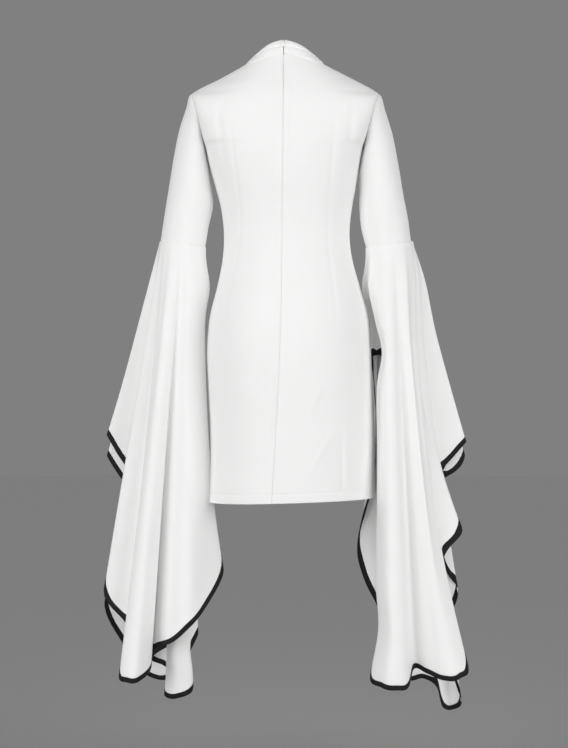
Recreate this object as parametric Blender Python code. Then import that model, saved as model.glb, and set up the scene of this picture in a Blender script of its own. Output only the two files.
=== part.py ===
"""A white mini dress seen as worn: zipped back, set-in sleeves and long bound flounces.

Metres, +Z up. The front faces -Y and the wearer's left is at +X. The origin is at the base of
the neck, between the shoulders. Tables are in millimetres: a drop is measured down from the
origin, and an out is measured sideways from the plane x = 0.
"""
import math

import bmesh
import bpy
import numpy as np

MM = 0.001

# Driving sizes
CLOTH = 1.2 * MM
SEAM_GAP = 0.3 * MM
HEM_DROP = 866 * MM
HEM_TILT = 0.025
SECTION_POWER = 0.9
ARMHOLE_TOP = 57 * MM
ARMHOLE_FOOT = 163 * MM
ARMHOLE_HALF_DEPTH = 54 * MM
BINDING_WIDTH = 9.5 * MM
BINDING_THICKNESS = 1.0 * MM
COLLAR_THICKNESS = 2.4 * MM
COLLAR_LIFT = 0.4 * MM
COLLAR_SLIT = 0.01
COLLAR_SLIT_SPREAD = 0.02
COLLAR_ROLL = 2.5 * MM
ZIP_END = 505 * MM
ZIP_INSET = CLOTH + SEAM_GAP + 0.5 * MM
ZIP_HALF_WIDTH = 0.075
ZIP_TAPE = 1.0 * MM
PULL_SIZE = (3.2 * MM, 1.4 * MM, 13 * MM)
PULL_PLACE = (1.0 * MM, 49.6 * MM, 34 * MM)
PULL_ROUNDING = 1.2 * MM
FLOUNCE_EASE = 1.5 * MM
FOLD_DEPTH = 1.2
HEM_SLOPE_REACH = 0.012
HEM_SLOPE_STEP = 0.001
STEEPEST_HEM = 0.6
THIN_WALL = 0.01 * MM

# The fold tables give each place as it looks from straight behind: from this far off, and from
# an eye this far below the origin
VIEW_DISTANCE = 3.0
EYE_DROP = 616 * MM

# How far each level is lifted at the centre back and lowered at the centre front
NECK_RISE_BACK = 14 * MM
NECK_DIP_FRONT = 70 * MM
RISE_FADES_BY = 90 * MM
DIP_FADES_BY = 230 * MM

# Panel grids, in steps
BACK_COLUMNS = 9
FRONT_COLUMNS = 18
SLEEVE_AROUND = 26
SLEEVE_ROWS = (0.0, 0.02, 0.08, 0.2, 0.35, 0.5, 0.65, 0.82, 1.0)
NORMAL_STEP = 0.008
STEPS_PER_FOLD = 2
FLOUNCE_ROWS = (0.0, 0.15, 0.34, 0.54, 0.72, 0.86, 0.94, 1.0)
COLLAR_COLUMNS = 14
COLLAR_ROWS = 3
ZIP_COLUMNS = 4

# Body sections: drop, half width on the left, on the right, depth behind, depth in front,
# and how far the centre back seam stands to the left
BODY = np.array((
    (0, 76, 80, 50, 62, 1),
    (28, 129, 138, 66, 84, 1),
    (57, 183, 188, 79, 98, 1),
    (110, 170, 173, 93, 110, 2),
    (163, 157, 157, 97, 120, 2),
    (200, 149, 150, 95, 128, 3),
    (240, 138, 144, 90, 133, 3),
    (290, 125, 135, 81, 124, 4),
    (340, 120, 131, 76, 108, 4),
    (390, 123, 137, 82, 102, 5),
    (440, 133, 151, 96, 106, 5),
    (500, 148, 168, 112, 110, 6),
    (560, 154, 173, 119, 110, 8),
    (640, 152, 177, 119, 108, 11),
    (734, 148, 181, 114, 106, 16),
    (800, 149, 181, 112, 105, 20),
    (866, 154, 181, 110, 104, 24),
)) * MM

# How squarely the sections turn at the side: drop and power
SIDE_TURN = np.array((
    (0, 0.9),
    (57, 0.9),
    (135, 0.85),
    (163, 0.5),
    (200, 0.62),
    (250, 0.78),
    (320, 0.9),
)) * (MM, 1)

# How far the yoke falls away on either side of the shoulder seam: level and fall
SHOULDER_FALL = np.array(((0, 0), (28, 8), (57, 8), (120, 0))) * MM

BODY_LEVELS = (0, 14, 28, 43, 57, 62, 78, 110, 142, 158, 163, 196, 236, 276, 312, 345, 385, 430,
               465, 505, 550, 610, 680, 750, 810, 866)

# Sleeve sections: share of the way down, inner out and drop, outer out and drop, half depth
SLEEVE_LEFT = np.array((
    (0.00, 157, 163, 183, 57, 54),
    (0.02, 156, 168, 187, 59, 54),
    (0.10, 154, 186, 195, 85, 54),
    (0.22, 152, 208, 206, 118, 53),
    (0.45, 146, 246, 219, 176, 51),
    (0.65, 142, 281, 229, 238, 49),
    (0.85, 148, 322, 239, 300, 46),
    (1.00, 158, 364, 247, 353, 44),
)) * (1, MM, MM, MM, MM, MM)

SLEEVE_RIGHT = np.array((
    (0.00, 157, 163, 188, 57, 54),
    (0.02, 157, 168, 192, 59, 54),
    (0.10, 155, 188, 202, 90, 54),
    (0.22, 153, 212, 214, 128, 53),
    (0.45, 151, 250, 228, 195, 51),
    (0.65, 151, 287, 238, 255, 49),
    (0.85, 155, 328, 248, 308, 46),
    (1.00, 165, 366, 254, 353, 44),
)) * (1, MM, MM, MM, MM, MM)

# Flounce folds, one row for each place where the hem turns: angle on the elbow seam in degrees
# (0 next the body, 90 behind, 180 outside, 270 in front), out, back, drop, how late the cloth
# swings out on its way down, and how far it bows outwards half-way down
FLOUNCE_LEFT = (
    (8, 164, 4, 996, 1.0, 4),
    (24, 146, 16, 966, 7.0, 8),
    (36, 121, 26, 1008, 6.0, 3),
    (50, 162, 58, 1090, 1.5, -4),
    (62, 195, 74, 1128, 1.1, 0),
    (74, 228, 64, 1154, 1.0, 0),
    (82, 256, 38, 1164, 1.0, 0),
    (88, 267, 30, 1178, 1.0, 0),
    (94, 266, 52, 1204, 1.0, 0),
    (104, 290, 80, 1230, 1.0, 0),
    (116, 314, 84, 1232, 1.0, 0),
    (126, 330, 72, 1220, 1.1, 0),
    (134, 318, 54, 1172, 1.0, 0),
    (142, 312, 44, 1122, 1.0, 0),
    (152, 360, 30, 1046, 1.0, 0),
    (160, 318, 10, 950, 1.0, 0),
    (169, 300, -2, 838, 1.0, 0),
    (180, 354, -10, 738, 1.0, 0),
    (192, 326, -26, 694, 1.0, 0),
    (202, 353, -36, 782, 1.0, 0),
    (210, 308, -50, 832, 1.0, 0),
    (218, 314, -60, 952, 1.0, 0),
    (225, 359, -70, 1064, 1.0, 0),
    (233, 320, -88, 1158, 1.0, 0),
    (242, 290, -96, 1204, 1.0, 0),
    (251, 264, -98, 1222, 1.0, 0),
    (260, 236, -88, 1226, 1.0, 0),
    (266, 221, -72, 1216, 1.0, 0),
    (273, 240, -58, 1198, 1.0, 0),
    (280, 266, -42, 1184, 1.0, 0),
    (287, 228, -24, 1158, 1.0, 0),
    (294, 192, -26, 1150, 1.0, 0),
    (300, 172, -22, 1134, 1.0, 0),
    (307, 192, -8, 1178, 1.0, 0),
    (315, 222, 0, 1238, 1.0, 0),
    (321, 238, 8, 1262, 1.0, 0),
    (329, 214, 22, 1272, 1.0, 0),
    (336, 186, 12, 1246, 1.0, 0),
    (343, 180, -12, 1186, 1.0, 0),
    (351, 168, -14, 1096, 1.0, 4),
)

FLOUNCE_RIGHT = (
    (0, 184, -20, 572, 1.0, 2),
    (10, 205, 2, 668, 1.0, 0),
    (22, 222, 16, 868, 1.0, 0),
    (31, 210, 28, 1048, 1.0, 6),
    (39, 184, 40, 1168, 1.2, 14),
    (47, 170, 56, 1220, 1.5, 20),
    (60, 194, 82, 1242, 1.2, 8),
    (76, 224, 88, 1248, 1.0, 0),
    (90, 250, 74, 1240, 1.0, 0),
    (99, 259, 44, 1206, 1.0, 0),
    (112, 286, 56, 1214, 1.1, 0),
    (126, 320, 72, 1228, 1.2, 0),
    (138, 352, 72, 1224, 1.8, 0),
    (146, 368, 58, 1198, 1.9, 0),
    (153, 334, 46, 1098, 1.6, 0),
    (160, 318, 34, 988, 1.4, 0),
    (167, 356, 22, 928, 1.5, -6),
    (174, 326, 6, 884, 1.1, 0),
    (182, 314, -4, 812, 1.0, 0),
    (191, 364, -14, 748, 1.0, 0),
    (199, 344, -26, 672, 1.0, 0),
    (207, 360, -36, 782, 1.0, 0),
    (214, 314, -50, 834, 1.0, 0),
    (222, 320, -64, 990, 1.0, 0),
    (230, 348, -72, 1048, 1.0, 0),
    (238, 330, -82, 1118, 1.0, 0),
    (246, 342, -100, 1228, 1.0, 0),
    (252, 355, -102, 1270, 1.0, 0),
    (260, 336, -120, 1286, 1.0, 0),
    (268, 317, -114, 1280, 1.0, 0),
    (276, 306, -100, 1242, 1.0, 0),
    (286, 280, -98, 1224, 1.0, 0),
    (298, 254, -102, 1228, 1.0, 0),
    (312, 224, -108, 1212, 1.0, 0),
    (326, 200, -114, 1148, 1.0, 0),
    (336, 186, -116, 1076, 1.0, 6),
    (342, 157, -110, 974, 1.0, 24),
    (347, 160, -90, 900, 1.0, 24),
    (352, 180, -74, 838, 1.0, 14),
    (356, 186, -46, 672, 1.0, 8),
)

# Collar: share of the way from the centre back to the centre front, height, lean to the neck
COLLAR = np.array((
    (0.0, 29, 8),
    (0.14, 25, 9),
    (0.28, 20, 12),
    (0.5, 16, 15),
    (0.75, 18, 13),
    (1.0, 20, 10),
)) * (1, MM, MM)

SHARP_ANGLE = math.radians(50)
LOOKS = {
    "cloth": ((0.86, 0.86, 0.85, 1), 0.75),
    "binding": ((0.012, 0.012, 0.013, 1), 0.6),
    "zip": ((0.8, 0.8, 0.79, 1), 0.45),
}


def smooth(at, knots, values):
    """Values read off one smooth curve through the knots, at each place in at."""
    at = np.clip(at, knots[0], knots[-1])
    slope = np.gradient(values, knots)
    low = np.clip(np.searchsorted(knots, at, side="right") - 1, 0, len(knots) - 2)
    step = knots[low + 1] - knots[low]
    s = (at - knots[low]) / step
    return ((2 * s**3 - 3 * s**2 + 1) * values[low] + (s**3 - 2 * s**2 + s) * step * slope[low]
            + (3 * s**2 - 2 * s**3) * values[low + 1] + (s**3 - s**2) * step * slope[low + 1])


def smooth_round(at, knots, values):
    """The same on a closed curve whose knots run round from 0 to 1."""
    wrapped = np.concatenate((knots[-3:] - 1, knots, knots[:3] + 1))
    return smooth(np.mod(at, 1.0), wrapped, np.concatenate((values[-3:], values, values[:3])))


def normal_of(shape, u, v, step_u, step_v, closed):
    """Unit normals of a surface, on the side where u turns towards v."""
    low, high = (u - step_u, u + step_u) if closed else (np.clip(u - step_u, 0, 1), np.clip(u + step_u, 0, 1))
    along = shape(high, v) - shape(low, v)
    down = shape(u, np.clip(v + step_v, 0, 1)) - shape(u, np.clip(v - step_v, 0, 1))
    across = np.cross(along, down)
    return across / np.linalg.norm(across, axis=1, keepdims=True)


def finish(name, bm, look):
    """Turns a bmesh into a named object with its material."""
    bmesh.ops.recalc_face_normals(bm, faces=bm.faces)
    if bm.calc_volume(signed=True) < 0:
        bmesh.ops.reverse_faces(bm, faces=bm.faces)
    mesh = bpy.data.meshes.new(name)
    bm.to_mesh(mesh)
    bm.free()
    mesh.materials.append(material(look))
    mesh.shade_smooth()
    mesh.set_sharp_from_angle(angle=SHARP_ANGLE)
    piece = bpy.data.objects.new(name, mesh)
    bpy.context.scene.collection.objects.link(piece)
    return piece


def material(look):
    if look in bpy.data.materials:
        return bpy.data.materials[look]
    made = bpy.data.materials.new(look)
    made.use_nodes = True
    shader = made.node_tree.nodes["Principled BSDF"]
    shader.inputs["Base Color"].default_value = LOOKS[look][0]
    shader.inputs["Roughness"].default_value = LOOKS[look][1]
    return made


def place(bm, shape, normal, thickness):
    """Moves a flat pattern, whose points hold u, v and the layer, on to its place."""
    u, v, layer = np.array([vert.co for vert in bm.verts]).T
    points = shape(u, v) - normal(u, v) * (layer * thickness)[:, None]
    for vert, point in zip(bm.verts, points):
        vert.co = point


def outward(shape, side, closed):
    """A function for the outward normals of a surface."""
    return lambda u, v: side * normal_of(shape, u, v, NORMAL_STEP, NORMAL_STEP, closed)


def panel(name, shape, columns, rows, thickness=CLOTH, side=1, look="cloth"):
    """A flat-cut panel: rows is a list of shares from its top edge to its bottom edge."""
    bm = bmesh.new()
    bmesh.ops.create_grid(bm, x_segments=columns, y_segments=len(rows) - 1, size=0.5)
    for vert in bm.verts:
        place_in_rows = round((vert.co.y + 0.5) * (len(rows) - 1))
        vert.co = (vert.co.x + 0.5, rows[place_in_rows], 0)
    wall = bmesh.ops.extrude_face_region(bm, geom=bm.faces[:])["geom"]
    lifted = [item for item in wall if isinstance(item, bmesh.types.BMVert)]
    bmesh.ops.translate(bm, verts=lifted, vec=(0, 0, 1))
    place(bm, shape, outward(shape, side, False), thickness)
    return finish(name, bm, look)


def flat_tube(around, rows):
    """A closed wall whose points hold the step round the tube, the row, and the layer."""
    bm = bmesh.new()
    bmesh.ops.create_circle(bm, cap_ends=False, segments=around, radius=1)
    edges = bm.edges[:]
    for _ in range(rows - 1):
        made = bmesh.ops.extrude_edge_only(bm, edges=edges)["geom"]
        moved = [item for item in made if isinstance(item, bmesh.types.BMVert)]
        bmesh.ops.translate(bm, verts=moved, vec=(0, 0, 1))
        edges = [item for item in made if isinstance(item, bmesh.types.BMEdge)
                 and all(end in moved for end in item.verts)]
    wall = bmesh.ops.extrude_face_region(bm, geom=bm.faces[:])["geom"]
    inside = [item for item in wall if isinstance(item, bmesh.types.BMVert)]
    bmesh.ops.scale(bm, verts=inside, vec=(2, 2, 1))
    for vert in bm.verts:
        step = round(math.atan2(vert.co.y, vert.co.x) / math.tau * around) % around
        vert.co = (step, round(vert.co.z), round(math.hypot(vert.co.x, vert.co.y)) - 1)
    return bm


def tube(name, points, normals, faces_at=(0.0, -CLOTH), look="cloth"):
    """A piece joined into a tube: its two faces lie at these distances out from the points.

    The faces are split while the wall is still thin, so pieces that share points split alike.
    """
    bm = flat_tube(points.shape[0], points.shape[1])
    keys = [tuple(round(value) for value in vert.co) for vert in bm.verts]
    for vert, (step, row, layer) in zip(bm.verts, keys):
        vert.co = points[step, row] + normals[step, row] * layer * THIN_WALL
    bmesh.ops.triangulate(bm, faces=bm.faces, quad_method="SHORT_EDGE", ngon_method="BEAUTY")
    for vert, (step, row, layer) in zip(bm.verts, keys):
        vert.co = points[step, row] + normals[step, row] * faces_at[layer]
    return finish(name, bm, look)


def body_column(level, column):
    return smooth(level, BODY[:, 0], BODY[:, column])


def edge_power(level):
    """How squarely a section turns at its side: squarest under the arm."""
    return np.interp(level, SIDE_TURN[:, 0], SIDE_TURN[:, 1])


def side_edge(side, level):
    """Out and half depth of the line where the front and back panels end, at each level."""
    column = 1 if side > 0 else 2
    out = body_column(level, column)
    top, foot = ARMHOLE_TOP, ARMHOLE_FOOT
    top_out = np.interp(top, BODY[:, 0], BODY[:, column])
    foot_out = np.interp(foot, BODY[:, 0], BODY[:, column])
    share = (level - top) / (foot - top)
    in_armhole = (share > 0) & (share < 1)
    out = np.where(in_armhole, top_out + (foot_out - top_out) * share, out)
    round_edge = np.sqrt(np.clip(1 - (2 * share - 1) ** 2, 0, 1))
    return out, np.where(in_armhole, ARMHOLE_HALF_DEPTH * round_edge, 0)


def body_point(side, angle, level):
    """A point on the dress: angle is 0 at the centre back, pi / 2 at the side, pi in front."""
    out, edge_depth = side_edge(side, level)
    behind = np.cos(angle) >= 0
    reach = np.abs(np.cos(angle))
    spread = np.abs(np.sin(angle)) ** SECTION_POWER
    left, right = body_column(level, 1), body_column(level, 2)
    middle = np.where(behind, body_column(level, 5), (left - right) / 2 * (level / HEM_DROP))
    x = middle + (side * out - middle) * spread
    depth = np.where(behind, body_column(level, 3), body_column(level, 4))
    y = (edge_depth + (depth - edge_depth) * reach ** edge_power(level)) * np.where(behind, 1, -1)
    rise = NECK_RISE_BACK * np.clip(1 - level / RISE_FADES_BY, 0, 1) ** 2
    dip = NECK_DIP_FRONT * np.clip(1 - level / DIP_FADES_BY, 0, 1) ** 2
    drop = level + np.where(behind, -rise, dip) * reach**2
    drop = drop + np.interp(level, SHOULDER_FALL[:, 0], SHOULDER_FALL[:, 1]) * np.sin(2 * angle) ** 2
    drop = drop + HEM_TILT * x * (level / HEM_DROP) ** 4
    return np.stack((x, y, -drop), axis=1)


def seam_angle(level, column):
    """The angle from the side at which half the seam's gap is reached."""
    return (SEAM_GAP / 2 / body_column(level, column)) ** (1 / edge_power(level))


def back_shape(side):
    first = 0.002

    def shape(u, v):
        level = v * HEM_DROP
        last = math.pi / 2 - seam_angle(level, 3)
        return body_point(side, first + (last - first) * u, level)
    return shape


def front_shape(u, v):
    """From the left side, u = 0, across the centre front to the right side, u = 1."""
    left = u < 0.5
    share = np.where(left, 2 * u, 2 - 2 * u)
    level = v * HEM_DROP
    first = math.pi / 2 + seam_angle(level, 4)
    angle = first + (math.pi - first) * share
    return np.where(left[:, None], body_point(1, angle, level), body_point(-1, angle, level))


def sleeve_shape(table, side):
    def shape(u, v):
        inner_out, inner_drop, outer_out, outer_drop, depth = (
            smooth(v, table[:, 0], table[:, column]) for column in range(1, 6))
        turn = u * math.tau
        out = (inner_out + outer_out) / 2 + (inner_out - outer_out) / 2 * np.cos(turn)
        drop = (inner_drop + outer_drop) / 2 + (inner_drop - outer_drop) / 2 * np.cos(turn)
        x = side * (out + SEAM_GAP * 1.5 * np.clip(1 - v / 0.05, 0, 1))
        return np.stack((x, depth * np.sin(turn), -drop), axis=1)
    return shape


def flounce_grid(table, sleeve, side, turns):
    """The places of a flounce's outer face, by turn and row, and its outward normals there.

    The last row is the hem, and the one before it is the top edge of the binding. A steep hem
    takes a longer stretch of each fold for the same width of binding, so the binding follows
    the hem at an even width.
    """
    rows = np.array(table) * (1, MM, MM, MM, 1, MM)
    knots = rows[:, 0] / 360
    inner_out, inner_drop, outer_out, outer_drop, depth = sleeve[-1, 1:]

    def ends(u):
        turn = u * math.tau
        half = (outer_out - inner_out) / 2 + FLOUNCE_EASE
        top_out = (inner_out + outer_out) / 2 - half * np.cos(turn)
        top_back = (depth + FLOUNCE_EASE) * np.sin(turn)
        top_drop = (inner_drop + outer_drop) / 2 + (inner_drop - outer_drop) / 2 * np.cos(turn)
        out, back, drop = (smooth_round(u, knots, rows[:, column]) for column in range(1, 4))
        back = back * FOLD_DEPTH
        nearer = (VIEW_DISTANCE - back) / VIEW_DISTANCE
        hem = np.stack((out * nearer, back, EYE_DROP + (drop - EYE_DROP) * nearer), axis=1)
        return np.stack((top_out, top_back, top_drop + SEAM_GAP), axis=1), hem

    def binding_share(u):
        near = HEM_SLOPE_REACH * np.array((-1, -0.5, 0, 0.5, 1))
        top, hem = ends((u[:, None] + near).ravel())
        run = ends((u[:, None] + near + HEM_SLOPE_STEP).ravel())[1] - hem
        fall = hem - top
        square = np.linalg.norm(np.cross(run, fall), axis=1) / (
            np.linalg.norm(run, axis=1) * np.linalg.norm(fall, axis=1))
        taken = BINDING_WIDTH / np.maximum(square, STEEPEST_HEM) / np.linalg.norm(fall, axis=1)
        return taken.reshape(-1, len(near)).mean(axis=1)

    u = np.array(turns)
    top, hem = ends(u)
    late, bow = (smooth_round(u, knots, rows[:, column])[:, None] for column in (4, 5))
    cloth = (1 - binding_share(u))[:, None] * FLOUNCE_ROWS
    share = np.concatenate((cloth, np.ones((len(u), 1))), axis=1)
    swing = share ** late
    out = top[:, :1] + (hem - top)[:, :1] * swing + bow * 4 * share * (1 - share)
    back = top[:, 1:2] + (hem - top)[:, 1:2] * swing
    drop = top[:, 2:] + (hem - top)[:, 2:] * share
    points = np.stack((side * out, back, -drop), axis=2)
    return points, -side * grid_normals(points)


def grid_normals(points):
    """Unit normals at the points of a closed grid, each the mean of those of the faces round it."""
    after = np.roll(points, -1, axis=0)
    faces = np.cross(after[:, 1:] - points[:, :-1], after[:, :-1] - points[:, 1:])
    faces = faces / np.linalg.norm(faces, axis=2, keepdims=True)
    faces = faces + np.roll(faces, 1, axis=0)
    total = np.zeros_like(points)
    total[:, 1:] += faces
    total[:, :-1] += faces
    return total / np.linalg.norm(total, axis=2, keepdims=True)


def fold_turns(folds):
    """The places round the seam where the mesh of a flounce has a column: each fold, and between."""
    knots = [row[0] / 360 for row in folds]
    after = knots[1:] + [1.0]
    return [low + (high - low) * step / STEPS_PER_FOLD
            for low, high in zip(knots, after) for step in range(STEPS_PER_FOLD)]


def collar_shape(side):
    last = math.pi - 0.004

    def shape(u, v):
        first = COLLAR_SLIT + COLLAR_SLIT_SPREAD * v**2
        angle = first + (last - first) * u
        edge = body_point(side, angle, np.zeros_like(u))
        height = smooth(u, COLLAR[:, 0], COLLAR[:, 1])
        lean = smooth(u, COLLAR[:, 0], COLLAR[:, 2])
        away = edge * (1, 1, 0)
        away = away / np.linalg.norm(away, axis=1, keepdims=True)
        proud = COLLAR_ROLL * np.sin(math.pi * v) ** 0.7 - lean * v
        up = COLLAR_LIFT + (height - COLLAR_LIFT) * v
        return edge + away * proud[:, None] + up[:, None] * np.array((0, 0, 1))
    return shape


def moved_out(shape, distance):
    """The same surface, moved out along its normals, or in where the distance is negative."""
    def shifted(u, v):
        return shape(u, v) + distance * normal_of(shape, u, v, NORMAL_STEP, NORMAL_STEP, False)
    return shifted


def zip_line(u, v):
    """The back on either side of the centre back seam, as far down as the zip goes."""
    level = v * ZIP_END
    angle = np.abs(2 * u - 1) * ZIP_HALF_WIDTH
    return np.where((u > 0.5)[:, None], body_point(1, angle, level), body_point(-1, angle, level))


def shares(levels):
    return tuple(level / levels[-1] for level in levels)


def make_body():
    rows = shares(BODY_LEVELS)
    panel("back_panel_left", back_shape(1), BACK_COLUMNS, rows, side=1)
    panel("back_panel_right", back_shape(-1), BACK_COLUMNS, rows, side=-1)
    panel("front_panel", front_shape, FRONT_COLUMNS, rows, side=1)


def make_sleeve(name, table, side):
    u, v = (grid.ravel() for grid in np.meshgrid(
        np.arange(SLEEVE_AROUND) / SLEEVE_AROUND, SLEEVE_ROWS, indexing="ij"))
    shape = sleeve_shape(table, side)
    size = (SLEEVE_AROUND, len(SLEEVE_ROWS), 3)
    tube("sleeve_" + name, shape(u, v).reshape(size), outward(shape, side, True)(u, v).reshape(size))


def make_flounce(name, folds, sleeve, side):
    points, normals = flounce_grid(folds, sleeve, side, fold_turns(folds))
    tube("flounce_" + name, points, normals)
    tube("binding_" + name, points[:, -2:], normals[:, -2:], (SEAM_GAP, SEAM_GAP + BINDING_THICKNESS),
         "binding")


def make_collar(name, side):
    rows = tuple(row / COLLAR_ROWS for row in range(COLLAR_ROWS + 1))
    panel("collar_" + name, collar_shape(side), COLLAR_COLUMNS, rows, thickness=COLLAR_THICKNESS,
          side=-side)


def make_zip():
    rows = shares([level for level in BODY_LEVELS if level * MM <= ZIP_END])
    panel("zip_tape", moved_out(zip_line, -ZIP_INSET), ZIP_COLUMNS, rows, thickness=ZIP_TAPE, look="zip")
    bm = bmesh.new()
    bmesh.ops.create_cube(bm, size=1)
    bmesh.ops.scale(bm, verts=bm.verts, vec=PULL_SIZE)
    corners = [edge for edge in bm.edges if abs(edge.verts[0].co.y - edge.verts[1].co.y) > PULL_SIZE[1] / 2]
    bmesh.ops.bevel(bm, geom=corners, offset=PULL_ROUNDING, segments=2, profile=0.5, affect="EDGES",
                    material=-1)
    bmesh.ops.translate(bm, verts=bm.verts, vec=PULL_PLACE)
    finish("zip_pull", bm, "zip")


def main():
    for item in list(bpy.data.objects):
        bpy.data.objects.remove(item)
    make_body()
    for name, side, sleeve, folds in (("left", 1, SLEEVE_LEFT, FLOUNCE_LEFT),
                                      ("right", -1, SLEEVE_RIGHT, FLOUNCE_RIGHT)):
        make_sleeve(name, sleeve, side)
        make_flounce(name, folds, sleeve, side)
        make_collar(name, side)
    make_zip()


if __name__ == "__main__":
    main()
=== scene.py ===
"""A white mini dress shown as worn, seen from behind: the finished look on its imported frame.

Metres, +Z up. The front faces -Y and the wearer's left is at +X. The origin is at the base of
the neck, between the shoulders. Tables are in millimetres: a drop is measured down from the
origin, and an out is measured sideways from the plane x = 0.
"""
import math

import bmesh
import bpy
import mathutils
import numpy as np
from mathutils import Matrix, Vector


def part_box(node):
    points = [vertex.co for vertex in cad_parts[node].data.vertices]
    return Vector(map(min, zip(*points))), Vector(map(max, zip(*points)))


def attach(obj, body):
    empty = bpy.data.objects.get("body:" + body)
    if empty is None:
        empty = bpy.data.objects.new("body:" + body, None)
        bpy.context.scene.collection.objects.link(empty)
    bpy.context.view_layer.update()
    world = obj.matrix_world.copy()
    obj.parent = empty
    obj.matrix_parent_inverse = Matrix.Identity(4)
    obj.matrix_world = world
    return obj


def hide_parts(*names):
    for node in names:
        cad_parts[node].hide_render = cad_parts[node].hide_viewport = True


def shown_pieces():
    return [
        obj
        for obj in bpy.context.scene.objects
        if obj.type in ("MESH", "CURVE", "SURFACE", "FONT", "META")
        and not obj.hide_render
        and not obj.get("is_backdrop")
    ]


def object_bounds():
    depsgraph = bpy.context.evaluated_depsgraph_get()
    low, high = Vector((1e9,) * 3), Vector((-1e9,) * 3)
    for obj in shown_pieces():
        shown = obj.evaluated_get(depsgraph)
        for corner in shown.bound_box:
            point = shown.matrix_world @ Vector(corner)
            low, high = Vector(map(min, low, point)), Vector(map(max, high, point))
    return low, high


bl_info = {
    "name": "Mini dress",
    "version": (1, 0, 0),
    "blender": (4, 5, 0),
    "location": "3D View > Sidebar > Dress",
    "description": "Makes a fitted mini dress with long bound flounces, and its studio",
    "category": "Object",
}

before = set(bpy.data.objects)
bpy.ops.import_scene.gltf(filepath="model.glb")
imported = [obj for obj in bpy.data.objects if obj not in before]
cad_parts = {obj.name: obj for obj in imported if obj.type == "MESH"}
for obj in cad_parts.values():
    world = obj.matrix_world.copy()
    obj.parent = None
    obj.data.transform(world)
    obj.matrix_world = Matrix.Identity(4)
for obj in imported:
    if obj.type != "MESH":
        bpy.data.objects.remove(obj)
CAD_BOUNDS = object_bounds()
BODY_NAME = "root"

MM = 0.001

# Driving sizes, as in the solids, but for a slightly narrower binding
CLOTH = 1.2 * MM
SEAM_GAP = 0.3 * MM
HEM_DROP = 866 * MM
HEM_TILT = 0.025
SECTION_POWER = 0.9
ARMHOLE_TOP = 57 * MM
ARMHOLE_FOOT = 163 * MM
ARMHOLE_HALF_DEPTH = 54 * MM
BINDING_WIDTH = 8.8 * MM
COLLAR_THICKNESS = 2.4 * MM
COLLAR_LIFT = 0.4 * MM
COLLAR_ROLL = 2.5 * MM
COLLAR_ROUNDNESS = 0.7
FLOUNCE_EASE = 1.5 * MM
FOLD_DEPTH = 1.2
NECK_RISE_BACK = 14 * MM
NECK_DIP_FRONT = 70 * MM
RISE_FADES_BY = 90 * MM
DIP_FADES_BY = 230 * MM

# Steps for slopes and normals, as shares, and the least sine between hem and fall line that
# widens the binding
HEM_SLOPE_REACH = 0.005
HEM_SLOPE_STEP = 0.001
STEEPEST_HEM = 0.34
NORMAL_STEP = 0.002

# The eye that the fold places are given for: this far behind the dress, at this drop
VIEW_DISTANCE = 3.0
EYE_DROP = 616 * MM

# How finely the cloth is divided: across and down
BACK_GRID = (120, 240)
FRONT_GRID = (160, 220)
SLEEVE_GRID = (176, 150)
COLLAR_GRID = (110, 30)
FLOUNCE_ROWS = 64
STEPS_PER_FOLD = 8
WELD = 0.001 * MM
CLOTH_MAP = "Cloth"

# Where the rows and columns of a sheet lie closer: places on an even sheet, and on this one
EVEN = ((0, 1), (0, 1))
SIDES_CLOSER = ((0, 0.12, 0.88, 1), (0, 0.03, 0.97, 1))
HEM_CLOSER = ((0, 0.1, 0.9, 1), (0, 0.023, 0.965, 1))
ENDS_CLOSER = ((0, 0.08, 0.92, 1), (0, 0.02, 0.98, 1))
TOP_CLOSER = ((0, 0.1, 1), (0, 0.015, 1))

# Seams, hems and folds: how deep they sink and how far they spread
SEAM_DEPTH = 0.45 * MM
SEAM_SPREAD = 1.8 * MM
FLOUNCE_LAP = 1.5 * MM
HEM_GROOVE = 0.5 * MM
HEM_GROOVE_SPREAD = 1.6 * MM
FOLD_FADE = 36 * MM

# Angles from the centre plane at which the dress's halves end: down the back, how much more at
# the zip's top and the drop where that ends, then the collar's foot behind, how much more at
# its top, and in front
CENTRE_TOUCH = 0.0003
SLIT_OPENS = 0.008
SLIT_FOOT = 64 * MM
COLLAR_SLIT = 0.004
COLLAR_SLIT_SPREAD = 0.02
COLLAR_MEETS = 0.004

# The collar's crease, and where its lower edge hangs: shares round it and down it
COLLAR_CREASE_AT = 0.55
COLLAR_CREASE_SPREAD = 0.09
COLLAR_CREASE_DEPTH = 1.7 * MM
COLLAR_HANG = 8 * MM
COLLAR_HANG_LIFT = 3.2 * MM
COLLAR_HANG_AT = 0.21
COLLAR_HANG_SPREAD = 0.13
COLLAR_HANG_REACH = 0.4

# Stitches, weave and ribs
HEM_STITCH_ENDS = (0.004, 0.996)
HEM_STITCH_STEPS = 400
STITCH_SINK = 0.25 * MM
STITCH_PITCH = 3.0 * MM
WEAVE_PITCH = 0.6 * MM
RIB_PITCH = 1.0 * MM
PEBBLE = 1.1 * MM
WEAVE_WANDER = 0.9 * MM
WANDER_GRAIN = 2.5 * MM
TONE_GRAIN = 70 * MM
BINDING_STITCH_IN = 1.4 * MM
BINDING_STITCH_HALF = 0.35 * MM

# How much slimmer the zip pull is at its top, and the turn that makes an edge a rim
PULL_TAPER = 0.7
RIM_ANGLE = math.radians(60)

# The studio: each light's name, width and place
FLOOR_RADIUS = 9.0
CAMERA_LENS = 72.2
LIGHTS = (
    ("key", 2.6, (3.3, 2.9, 0.1)),
    ("fill", 2.6, (-3.4, 2.7, -0.4)),
    ("eye", 2.6, (0.5, 4.6, 0.2)),
    ("front", 2.6, (-0.8, -3.6, 0.2)),
    ("top", 1.6, (0.2, 0.3, 2.4)),
)

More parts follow.
